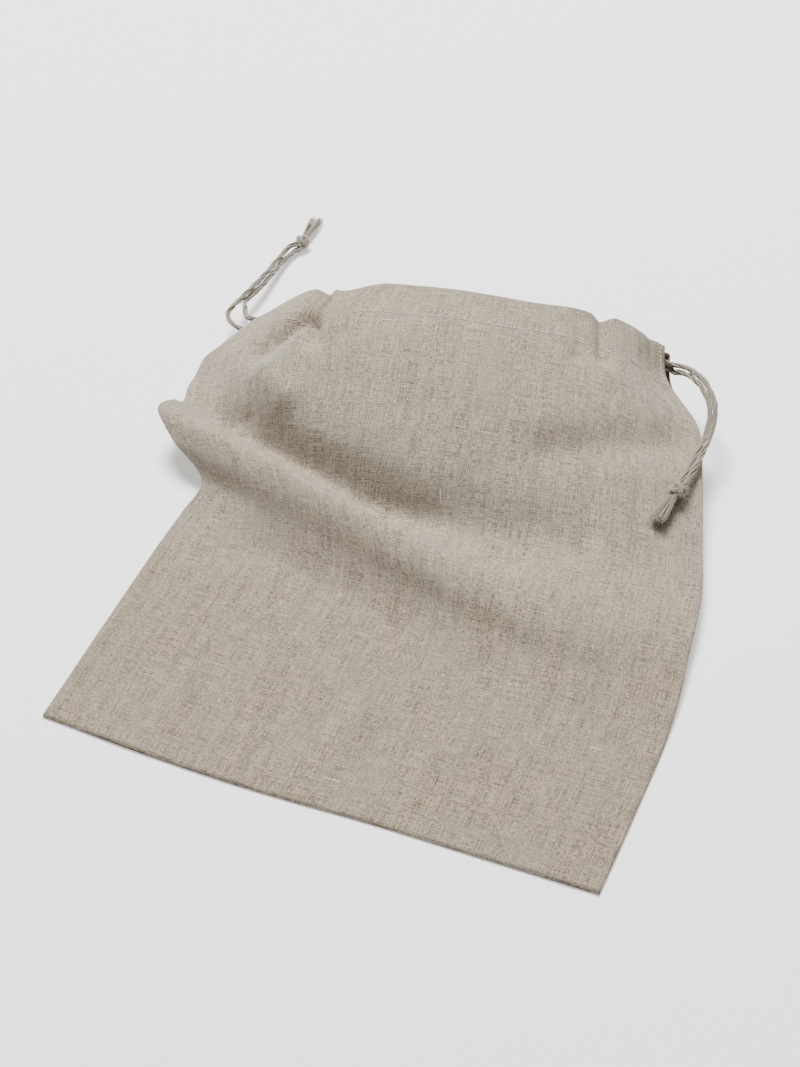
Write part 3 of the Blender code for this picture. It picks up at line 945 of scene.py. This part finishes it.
SLUBS = (
    Slub((0.515, 0.636), (0.522, 0.600), 0.00050),
    Slub((0.680, 0.578), (0.680, 0.556), 0.00042),
    Slub((0.879, 0.225), (0.914, 0.225), 0.00048),
    Slub((0.490, 0.052), (0.540, 0.052), 0.00050),
    Slub((0.340, 0.905), (0.385, 0.905), 0.00040),
    Slub((0.270, 0.845), (0.300, 0.845), 0.00038),
    Slub((0.600, 0.300), (0.600, 0.272), 0.00036),
)


@dataclass
class SlubYarns:
    """The few thick pale places that stand out of the front panel's weave."""

    shape: BagShape
    finish: bpy.types.Material
    points: int = 9
    sunk: float = 0.00030

    def build(self) -> bpy.types.Object:
        """Build all slubs as one piece, each thick in its middle and thin at both ends."""
        kit = MeshKit()
        taper = np.sin(np.linspace(0.08, 0.92, self.points) * math.pi)
        for number, slub in enumerate(SLUBS):
            places = np.linspace(slub.start, slub.end, self.points)
            line = on_cloth(self.shape, Layer.FRONT, places, self.shape.cut.cloth / 2 - self.sunk)
            kit.add_tube(line, taper * slub.radius, 6, float(number))
        piece = kit.build("front_slubs")
        piece.data.materials.append(self.finish)
        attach(piece, "root")
        return piece


class Route(NamedTuple):
    """The free way of one strand, from its channel's end to the knot."""

    name: str
    node: str
    layer: Layer
    side: Side
    points: tuple[tuple[float, float, float], ...]


ROUTES = (
    Route("left_outer_strand", "left_cord_outer", Layer.FRONT, Side.LEFT, (
        (-0.0360, 0.4072, 0.0190), (-0.0433, 0.4097, 0.0185), (-0.0503, 0.4141, 0.0187),
        (-0.0549, 0.4212, 0.0187), (-0.0555, 0.4312, 0.0182), (-0.0537, 0.4447, 0.0170),
        (-0.0524, 0.4614, 0.0154), (-0.0512, 0.4795, 0.0134), (-0.0512, 0.4986, 0.0110),
        (-0.0510, 0.5175, 0.0090), (-0.0503, 0.5335, 0.0078), (-0.0462, 0.5377, 0.0085))),
    Route("left_inner_strand", "left_cord_inner", Layer.BACK, Side.LEFT, (
        (-0.0353, 0.4205, 0.0205), (-0.0430, 0.4289, 0.0170), (-0.0478, 0.4388, 0.0148),
        (-0.0510, 0.4455, 0.0132), (-0.0497, 0.4623, 0.0116), (-0.0484, 0.4806, 0.0096),
        (-0.0483, 0.4998, 0.0074), (-0.0480, 0.5185, 0.0055), (-0.0454, 0.5330, 0.0043),
        (-0.0432, 0.5372, 0.0046))),
    Route("right_outer_strand", "right_cord_outer", Layer.FRONT, Side.RIGHT, (
        (0.3034, 0.4718, 0.0378), (0.3104, 0.4706, 0.0395), (0.3191, 0.4664, 0.0420),
        (0.3294, 0.4592, 0.0435), (0.3399, 0.4479, 0.0428), (0.3476, 0.4361, 0.0398),
        (0.3512, 0.4233, 0.0364), (0.3525, 0.4100, 0.0337), (0.3524, 0.3976, 0.0320),
        (0.3518, 0.3838, 0.0314), (0.3510, 0.3691, 0.0317), (0.3505, 0.3550, 0.0328),
        (0.3500, 0.3495, 0.0338))),
    Route("right_inner_strand", "right_cord_inner", Layer.BACK, Side.RIGHT, (
        (0.3048, 0.4700, 0.0322), (0.3112, 0.4681, 0.0348), (0.3190, 0.4640, 0.0378),
        (0.3272, 0.4556, 0.0415), (0.3366, 0.4460, 0.0407), (0.3435, 0.4361, 0.0376),
        (0.3468, 0.4251, 0.0341), (0.3482, 0.4130, 0.0313), (0.3483, 0.4013, 0.0294),
        (0.3477, 0.3877, 0.0289), (0.3470, 0.3730, 0.0292), (0.3459, 0.3575, 0.0303),
        (0.3454, 0.3498, 0.0316))),
)


class KnotPlace(NamedTuple):
    """Where the knot on a pair of strands is, and where its frayed end stops."""

    side: Side
    centre: tuple[float, float, float]
    end: tuple[float, float, float]

    def frame(self) -> tuple[np.ndarray, np.ndarray, np.ndarray, np.ndarray, float]:
        """The knot's middle, axes along the frayed end, sideways and up, and the reach of that end."""
        centre = np.array(self.centre) + CORNER
        run = np.array(self.end) + CORNER - centre
        reach = np.linalg.norm(run)
        along = run / reach
        sideways = np.cross(along, (0.0, 0.0, 1.0))
        sideways /= np.linalg.norm(sideways)
        return centre, along, sideways, np.cross(sideways, along), reach


KNOT_PLACES = (
    KnotPlace(Side.LEFT, (-0.0440, 0.5445, 0.0066), (-0.0460, 0.5850, 0.0030)),
    KnotPlace(Side.RIGHT, (0.3465, 0.3427, 0.0325), (0.3397, 0.3095, 0.0290)),
)


@dataclass(frozen=True)
class YarnLay:
    """How a yarn is laid from two plies, and a strand from its yarns."""

    ply_radius: float = 0.00050
    ply_apart: float = 0.85
    ply_pitch: float = 0.0056
    yarns: int = 6
    spread: float = 0.00142
    yarn_pitch: float = 0.046
    sides: int = 5
    point_spacing: float = 0.00085


def laid_yarn(kit: MeshKit, line: np.ndarray, lay: YarnLay, number: float,
              thickness: np.ndarray | None = None, first_turn: float = 0.0) -> None:
    """Add one two-ply yarn along a line.

    Args:
        kit: The mesh that takes it.
        line: The yarn's middle line.
        lay: Its sizes.
        number: A number of its own for the finish.
        thickness: A factor on its thickness at each point, if it changes.
        first_turn: How far its plies are turned at the start, in radians.
    """
    thickness = np.ones(len(line)) if thickness is None else thickness
    _, firsts, seconds = carried_frame(line)
    turn = running_lengths(line) / lay.ply_pitch * 2 * math.pi + first_turn
    for ply in range(2):
        offset = round_about(firsts, seconds, turn + ply * math.pi)
        points = line + offset * (lay.ply_radius * lay.ply_apart * thickness)[:, None]
        kit.add_tube(points, lay.ply_radius * thickness, lay.sides, number + ply * 0.37)


def even_points(curve: np.ndarray, spacing: float) -> np.ndarray:
    """A curve's points at an even spacing."""
    length = running_lengths(curve)[-1]
    return at_shares(curve, np.linspace(0, 1, max(4, int(length / spacing))))


@dataclass
class DrawCord:
    """One free stretch of a draw cord: a loose bundle of plied yarns."""

    route: Route
    knot: KnotPlace
    shape: BagShape
    finish: bpy.types.Material
    seed: int
    into_knot: float = 0.45
    depth: float = 0.011
    diameter: float = 0.0042
    lay: YarnLay = field(default_factory=YarnLay)

    def middle(self) -> np.ndarray:
        """The strand's middle line, from inside its channel to the knot."""
        start = self.shape.channel_middle(self.route.layer, self.route.side, self.depth)
        last = np.array(self.route.points[-1])
        inside = last + (np.array(self.knot.centre) - last) * self.into_knot
        points = np.vstack([start, np.array(self.route.points), inside]) + CORNER
        return even_points(smooth_curve(points, 10), self.lay.point_spacing)

    def build(self, on_it: Sequence[bpy.types.Object]) -> bpy.types.Object:
        """Args:
            on_it: The knot and the frayed end of this strand; not used.

        Returns:
            The strand.
        """
        line = self.middle()
        lengths = running_lengths(line)
        _, firsts, seconds = carried_frame(line)
        draw = random.Random(self.seed)
        kit = MeshKit()
        for yarn in range(self.lay.yarns):
            wander = draw.uniform(0, 2 * math.pi)
            angle = (yarn * 2 * math.pi / self.lay.yarns + lengths / self.lay.yarn_pitch * 2 * math.pi
                     + 0.35 * np.sin(lengths / 0.021 + wander))
            reach = self.lay.spread * (1 + 0.14 * np.sin(lengths / 0.013 + wander * 2)
                                       + 0.08 * np.sin(lengths / 0.0061 + wander * 3))
            offset = round_about(firsts, seconds, angle)
            laid_yarn(kit, line + offset * reach[:, None], self.lay, yarn * 3.1 + self.seed * 1.7,
                      first_turn=draw.uniform(0, 6.0))
        laid_yarn(kit, line, self.lay, 29.0 + self.seed)
        piece = kit.build(self.route.name)
        piece.data.materials.append(self.finish)
        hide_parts(self.route.node)
        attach(piece, "root")
        path = even_points(line, 0.006)
        return piece


@dataclass
class CordKnot:
    """The overhand knot in a doubled cord."""

    place: KnotPlace
    finish: bpy.types.Material
    seed: int
    ring: float = 0.00335
    rise: float = 0.00118
    half_length: float = 0.00380
    flatness: float = 0.84
    bundle: float = 0.00140
    core_radius: float = 0.0024
    core_half: float = 0.0062
    core_points: int = 14
    yarns: int = 6
    stray_fibres: int = 9
    lay: YarnLay = field(default_factory=lambda: YarnLay(point_spacing=0.0007))

    def loop(self) -> np.ndarray:
        """The closed line of the knotted cord, two turns round the axis in three dips."""
        centre, along, sideways, up, _ = self.place.frame()
        t = np.linspace(0, 4 * math.pi, 110)
        reach = self.ring + self.rise * np.cos(1.5 * t)
        return (centre + along * (self.half_length * np.sin(1.5 * t))[:, None]
                + sideways * (reach * np.cos(t))[:, None]
                + up * (reach * self.flatness * np.sin(t))[:, None])

    def build(self) -> bpy.types.Object:
        """Build the knot as a bundle of yarns, with a few stray fibres."""
        draw = random.Random(self.seed)
        line = self.loop()
        _, firsts, seconds = carried_frame(line)
        lengths = running_lengths(line)
        kit = MeshKit()
        for yarn in range(self.yarns):
            angle = yarn * 2 * math.pi / self.yarns + lengths / 0.05 * 2 * math.pi
            offset = round_about(firsts, seconds, angle)
            laid_yarn(kit, line + offset * self.bundle, self.lay, yarn * 2.3 + self.seed)
        centre, along, sideways, up, _ = self.place.frame()
        ways = np.linspace(-self.core_half, self.core_half, self.core_points)
        core = np.array([centre + along * way for way in ways])
        swell = np.sqrt(np.linspace(-1, 1, self.core_points) ** 2 * -0.35 + 1)
        kit.add_tube(core, self.core_radius * swell, 8, 40.0)
        for _ in range(self.stray_fibres):
            self.add_fibre(kit, draw, centre, (along, sideways, up))
        piece = kit.build(self.place.side.value + "_knot_yarns")
        piece.data.materials.append(self.finish)
        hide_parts(self.place.side.value + "_knot")
        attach(piece, "root")
        return piece

    def add_fibre(self, kit: MeshKit, draw: random.Random, centre: np.ndarray,
                  axes: Sequence[np.ndarray]) -> None:
        """Add one stray fibre that springs out of the knot and curls."""
        along, sideways, up = axes
        angle = draw.uniform(-0.3, math.pi + 0.3)
        out = sideways * math.cos(angle) + up * math.sin(angle)
        start = centre + out * 0.0042 + along * draw.uniform(-0.005, 0.005)
        drift = along * draw.uniform(-1, 1) + up * draw.uniform(-0.5, 0.1)
        length = draw.uniform(0.004, 0.008)
        t = np.linspace(0, 1, 8)[:, None]
        line = start + out * length * t + drift * length * 0.8 * t ** 2
        line[:, 2] = np.maximum(line[:, 2], 0.0004)
        kit.add_tube(line, np.linspace(0.00011, 0.00005, 8), 4, draw.uniform(60, 90))


@dataclass
class FrayedEnd:
    """The cut and splayed yarn ends past a knot."""

    place: KnotPlace
    finish: bpy.types.Material
    seed: int
    yarns: int = 19
    fibres: int = 44
    neck: float = 0.0024
    splay: float = 0.0066
    thick: float = 0.0019
    lowest: float = 0.0006
    lay: YarnLay = field(default_factory=lambda: YarnLay(ply_radius=0.00036, point_spacing=0.0009))

    def build(self) -> bpy.types.Object:
        """Build the yarn ends and loose fibres as one piece."""
        draw = random.Random(self.seed)
        centre, along, sideways, up, reach = self.place.frame()
        kit = MeshKit()
        for number in range(self.yarns + self.fibres):
            whole = number < self.yarns
            turn = draw.uniform(0, 2 * math.pi)
            off = math.sqrt(draw.uniform(0.05, 1.0))
            side, rise = off * math.cos(turn), off * math.sin(turn)
            length = reach * draw.uniform(0.88, 1.0 if whole else 1.03)
            t = np.linspace(0.10, 1, max(8, int(length / self.lay.point_spacing)))
            spread = eased(t) * (0.75 if whole else 1.0)
            wave = math.sin(turn * 3) * 0.0005 * np.sin(t * draw.uniform(4, 8))
            across = side * (self.neck + (self.splay - self.neck) * spread) + wave
            height = rise * (self.neck * 0.9 + (self.thick - self.neck * 0.9) * spread)
            line = (centre + along * (t * length)[:, None] + sideways * across[:, None]
                    + up * height[:, None])
            line[:, 2] = np.maximum(line[:, 2], self.lowest)
            if whole:
                thickness = 1 - 0.25 * eased((t - 0.6) / 0.4)
                laid_yarn(kit, line, self.lay, number * 1.9 + self.seed, thickness, turn)
            else:
                kit.add_tube(line, np.full(len(t), draw.uniform(0.00010, 0.00019)), 4, 50.0 + number)
        piece = kit.build(self.place.side.value + "_frayed_end")
        piece.data.materials.append(self.finish)
        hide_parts(self.place.side.value + "_tassel")
        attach(piece, "root")
        return piece


@dataclass
class Studio:
    """The pale floor, the soft light and the camera."""

    floor_size: float = 9.0
    floor_height: float = -0.0002
    camera_place: tuple[float, float, float] = (0.4132, -1.0572, 1.1547)
    looks_at: tuple[float, float, float] = (-0.0145, 0.0154, 0.0)
    lens: float = 74.23
    sensor: float = 36.0
    key_place: tuple[float, float, float] = (-1.20, 1.58, 3.45)
    key_size: float = 1.60
    key_power: float = 400.0
    fill_place: tuple[float, float, float] = (0.55, 0.75, 2.1)
    fill_size: float = 1.6
    fill_power: float = 12.0
    sky: tuple[float, float, float, float] = (1.0, 0.998, 0.995, 1.0)
    sky_strength: float = 0.17
    backdrop_strength: float = 0.95

    def build(self) -> None:
        """Build the floor, the lights and the camera."""
        self.build_floor()
        self.build_world()
        self.build_light("key_light", self.key_place, self.key_size, self.key_power)
        self.build_light("fill_light", self.fill_place, self.fill_size, self.fill_power)
        self.build_camera()

    def build_floor(self) -> None:
        """Lay the floor, which isn't part of the bag."""
        bpy.ops.mesh.primitive_plane_add(size=self.floor_size, location=(0, 0, self.floor_height))
        floor = bpy.context.object
        floor.name = "studio_floor"
        floor.data.materials.append(PaleFloor().material())

    def build_world(self) -> None:
        """Light everything softly from all round, with a pale backdrop behind the floor."""
        world = bpy.data.worlds.new("soft_room")
        world.use_nodes = True
        nodes = world.node_tree.nodes
        links = world.node_tree.links
        light = nodes["Background"]
        light.inputs["Color"].default_value = self.sky
        light.inputs["Strength"].default_value = self.sky_strength
        backdrop = nodes.new("ShaderNodeBackground")
        backdrop.inputs["Color"].default_value = self.sky
        backdrop.inputs["Strength"].default_value = self.backdrop_strength
        seen = nodes.new("ShaderNodeLightPath")
        either = nodes.new("ShaderNodeMixShader")
        links.new(seen.outputs["Is Camera Ray"], either.inputs[0])
        links.new(light.outputs[0], either.inputs[1])
        links.new(backdrop.outputs[0], either.inputs[2])
        links.new(either.outputs[0], nodes["World Output"].inputs["Surface"])
        bpy.context.scene.world = world

    def build_light(self, name: str, place: Sequence[float], size: float, power: float) -> None:
        """Hang one square soft box that faces the middle of the bag."""
        light = bpy.data.lights.new(name, "AREA")
        light.size = size
        light.energy = power
        holder = bpy.data.objects.new(name, light)
        holder.location = place
        holder.rotation_euler = (-Vector(place)).to_track_quat("-Z", "Y").to_euler()
        bpy.context.scene.collection.objects.link(holder)

    def build_camera(self) -> None:
        """Set up the camera."""
        camera = bpy.data.cameras.new("camera")
        camera.lens = self.lens
        camera.sensor_width = self.sensor
        camera.clip_end = 50.0
        holder = bpy.data.objects.new("camera", camera)
        holder.location = self.camera_place
        direction = Vector(self.looks_at) - Vector(self.camera_place)
        holder.rotation_euler = direction.to_track_quat("-Z", "Y").to_euler()
        bpy.context.scene.collection.objects.link(holder)
        bpy.context.scene.camera = holder


@dataclass
class BreadBag:
    """The whole bag. Each kind of piece counts its seeds for random draws up from its own number."""

    shape: BagShape = field(default_factory=BagShape)
    cord_seed: int = 11
    knot_seed: int = 21
    frayed_seed: int = 31
    thread_light: tuple[float, float, float, float] = (0.860, 0.800, 0.700, 1.0)
    thread_dark: tuple[float, float, float, float] = (0.640, 0.575, 0.480, 1.0)

    def build(self) -> None:
        """Build the cords first, then the panels, their stitches and the slubs."""
        cord = LinenYarn("cord_linen").material()
        thread = LinenYarn("stitch_thread", self.thread_light, self.thread_dark).material()
        cloth = LinenCloth("bag_linen").material()
        for number, place in enumerate(KNOT_PLACES):
            knot = CordKnot(place, cord, self.knot_seed + number).build()
            frayed = FrayedEnd(place, cord, self.frayed_seed + number).build()
            for index, route in enumerate(ROUTES):
                if route.side is place.side:
                    strand = DrawCord(route, place, self.shape, cord, self.cord_seed + index)
                    self.report(strand.build([knot, frayed]))
            self.report(knot)
            self.report(frayed)
        for name, node, layer in (("front_cloth", "front_panel", Layer.FRONT),
                                  ("back_cloth", "back_panel", Layer.BACK)):
            self.report(Panel(name, node, layer, self.shape, cloth).build())
        for name, layer in (("front_stitches", Layer.FRONT), ("back_stitches", Layer.BACK)):
            self.report(ChannelStitches(name, layer, self.shape, thread).build())
        self.report(SlubYarns(self.shape, thread).build())

    def report(self, piece: bpy.types.Object) -> None:
        """Log one finished piece."""
        LOG.info("%s: %d faces", piece.name, len(piece.data.polygons))


def main() -> None:
    """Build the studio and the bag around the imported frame."""
    logging.basicConfig(level=logging.INFO, format="%(name)s: %(message)s")
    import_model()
    bpy.ops.object.select_all(action="DESELECT")
    Studio().build()
    BreadBag().build()


if __name__ == "__main__":
    main()
